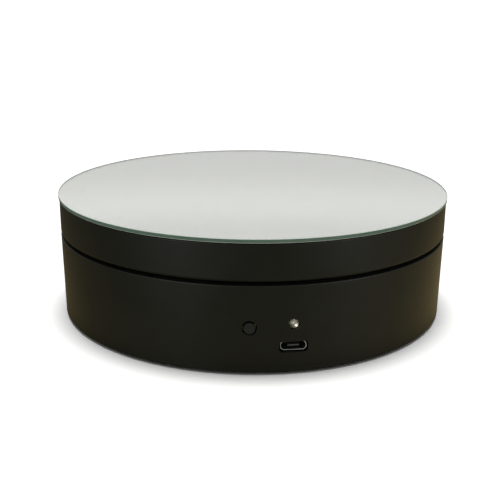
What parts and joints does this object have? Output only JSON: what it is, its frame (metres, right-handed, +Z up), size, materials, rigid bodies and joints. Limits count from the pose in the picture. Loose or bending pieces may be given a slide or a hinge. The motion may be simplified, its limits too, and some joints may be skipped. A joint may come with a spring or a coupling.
{
  "type": "turntable display stand",
  "caption": "Round motorised display turntable: black moulded base and skirted platter under a mirror top, with a push button, a status light and a charging socket in the base wall.",
  "frame": {"origin": "centre of the footprint, on the plane that the four rubber feet stand on", "axes": "+Z up along the spin axis; the button, light and socket face -Y; +X to the right as seen from the front"},
  "size_m": [0.138, 0.138, 0.043],
  "materials": {
    "black_moulding": "satin black moulded ABS",
    "mirror": "silvered float glass, ground edge",
    "foam_tape": "double-sided foam tape",
    "white_gear": "natural acetal",
    "steel": "bright steel",
    "zinc_screw": "zinc plated steel",
    "bronze": "sintered bronze and brass",
    "magnet": "sintered ferrite",
    "circuit_board": "green glass-epoxy board",
    "black_chip": "black moulded epoxy",
    "tinned_metal": "tinned sheet metal",
    "nickel": "nickel strip",
    "cell_wrap": "blue shrink wrap over a steel can",
    "white_plastic": "white nylon",
    "button_black": "black switch stem",
    "clear_lens": "water-clear epoxy lens",
    "rubber": "black rubber",
    "red_wire": "red PVC insulation",
    "black_wire": "black PVC insulation"
  },
  "bodies": {
    "base": {"base_shell": "black_moulding", "bottom_cover": "black_moulding", "gearbox_case": "black_moulding", "gearbox_lid": "black_moulding", "gear_pin_1": "steel", "gear_pin_2": "steel", "gear_pin_3": "steel", "motor_can": "steel", "roller_pin_1": "steel", "roller_pin_2": "steel", "roller_pin_3": "steel", "gearbox_screw_1": "zinc_screw", "gearbox_screw_2": "zinc_screw", "gearbox_screw_3": "zinc_screw", "motor_screw_1": "zinc_screw", "motor_screw_2": "zinc_screw", "cover_screw_1": "zinc_screw", "cover_screw_2": "zinc_screw", "cover_screw_3": "zinc_screw", "cover_screw_4": "zinc_screw", "shaft_bush": "bronze", "motor_magnet": "magnet", "control_board": "circuit_board", "control_chip": "black_chip", "usb_tongue": "black_chip", "tact_switch": "tinned_metal", "led_lead_1": "tinned_metal", "led_lead_2": "tinned_metal", "usb_shell": "tinned_metal", "battery_tab_plus": "nickel", "battery_tab_minus": "nickel", "battery_cell": "cell_wrap", "motor_end_cap": "white_plastic", "battery_connector": "white_plastic", "motor_connector": "white_plastic", "led_lens": "clear_lens", "rubber_foot_1": "rubber", "rubber_foot_2": "rubber", "rubber_foot_3": "rubber", "rubber_foot_4": "rubber", "battery_wire_red": "red_wire", "motor_wire_red": "red_wire", "battery_wire_black": "black_wire", "motor_wire_black": "black_wire"},
    "turntable": {"platter_disc": "black_moulding", "mirror_glass": "mirror", "adhesive_ring": "foam_tape", "hub_screw": "zinc_screw", "output_shaft": "steel", "output_gear": "white_gear"},
    "gear_body_3": {"gear_3": "white_gear"},
    "gear_body_2": {"gear_2": "white_gear"},
    "gear_body_1": {"gear_1": "white_gear"},
    "rotor": {"motor_shaft": "steel", "motor_pinion": "bronze", "motor_armature": "steel"},
    "roller_body_1": {"roller_1": "white_plastic"},
    "roller_body_2": {"roller_2": "white_plastic"},
    "roller_body_3": {"roller_3": "white_plastic"},
    "button": {"button_stem": "button_black"}
  },
  "joints": [
    {"name": "turntable_spin", "type": "hinge", "parent": "base", "child": "turntable", "pos_m": [0, 0, 0.043], "axis": [0, 0, 1], "continuous": true},
    {"name": "gear_3_spin", "type": "hinge", "parent": "base", "child": "gear_body_3", "pos_m": [-0.01877, -0.00689, 0.025], "axis": [0, 0, 1], "continuous": true},
    {"name": "gear_2_spin", "type": "hinge", "parent": "base", "child": "gear_body_2", "pos_m": [-0.0146, -0.0213, 0.0225], "axis": [0, 0, 1], "continuous": true},
    {"name": "gear_1_spin", "type": "hinge", "parent": "base", "child": "gear_body_1", "pos_m": [0.0004, -0.0213, 0.0201], "axis": [0, 0, 1], "continuous": true},
    {"name": "rotor_spin", "type": "hinge", "parent": "base", "child": "rotor", "pos_m": [0.0154, -0.0213, 0.0201], "axis": [0, 0, 1], "continuous": true},
    {"name": "roller_1_spin", "type": "hinge", "parent": "base", "child": "roller_body_1", "pos_m": [0, 0.05, 0.034], "axis": [0, 1, 0], "continuous": true},
    {"name": "roller_2_spin", "type": "hinge", "parent": "base", "child": "roller_body_2", "pos_m": [-0.0433, -0.025, 0.034], "axis": [-0.866, -0.5, 0], "continuous": true},
    {"name": "roller_3_spin", "type": "hinge", "parent": "base", "child": "roller_body_3", "pos_m": [0.0433, -0.025, 0.034], "axis": [0.866, -0.5, 0], "continuous": true},
    {"name": "button_press", "type": "slide", "parent": "base", "child": "button", "axis": [0, 1, 0], "range_m": [0, 0.00025], "stiffness_N_per_m": 1500, "springref_m": -0.0005}
  ],
  "couplings": [
    {"joint": "gear_3_spin", "follows": "turntable_spin", "ratio": -4},
    {"joint": "gear_2_spin", "follows": "turntable_spin", "ratio": 16},
    {"joint": "gear_1_spin", "follows": "turntable_spin", "ratio": -64},
    {"joint": "rotor_spin", "follows": "turntable_spin", "ratio": 256},
    {"joint": "roller_1_spin", "follows": "turntable_spin", "ratio": -12.5},
    {"joint": "roller_2_spin", "follows": "turntable_spin", "ratio": -12.5},
    {"joint": "roller_3_spin", "follows": "turntable_spin", "ratio": -12.5}
  ]
}
